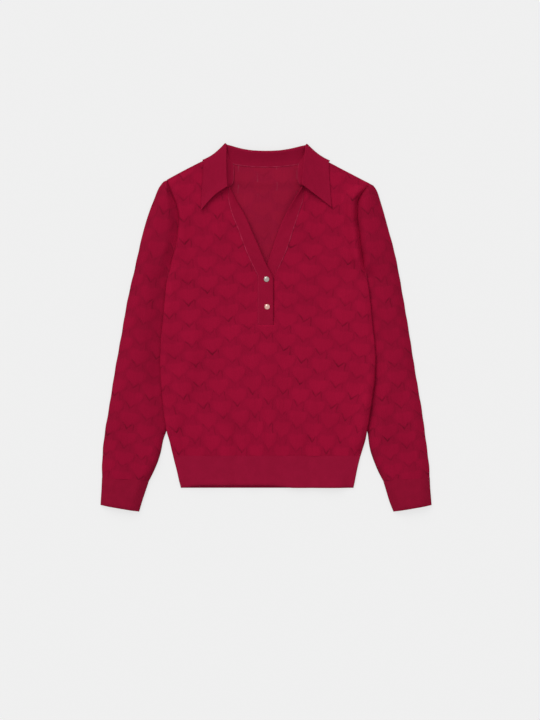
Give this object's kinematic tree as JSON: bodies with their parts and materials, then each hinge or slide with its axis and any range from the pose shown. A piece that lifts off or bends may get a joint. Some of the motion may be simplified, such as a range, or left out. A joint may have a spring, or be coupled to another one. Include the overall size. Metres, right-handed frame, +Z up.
{
  "type": "v-neck sweater laid flat",
  "caption": "Long-sleeved knit sweater laid flat face up, with a V-neck, a soft turned-down collar, a buttoned half placket and plain cuffs and hem.",
  "frame": {"origin": "centre of the laid garment's outline, on the surface it lies on", "axes": "+X across the garment to the right as seen from above, +Y from the hem to the collar, +Z up out of the front"},
  "size_m": [0.6278, 0.6967, 0.0082],
  "materials": {
    "patterned_knit": "matte wine-red fine knit with a raised repeat",
    "plain_knit": "matte wine-red plain double knit",
    "collar_knit": "matte wine-red plain knit",
    "button_metal": "polished, rose-gold coloured"
  },
  "bodies": {
    "root": {"back_panel": "patterned_knit", "front_panel": "patterned_knit", "sleeve_left": "patterned_knit", "sleeve_right": "patterned_knit", "cuff_left": "plain_knit", "cuff_right": "plain_knit", "hem_band_back": "plain_knit", "hem_band_front": "plain_knit", "placket_top": "plain_knit", "placket_under": "plain_knit", "collar": "collar_knit", "button_upper": "button_metal", "button_lower": "button_metal"}
  },
  "joints": []
}
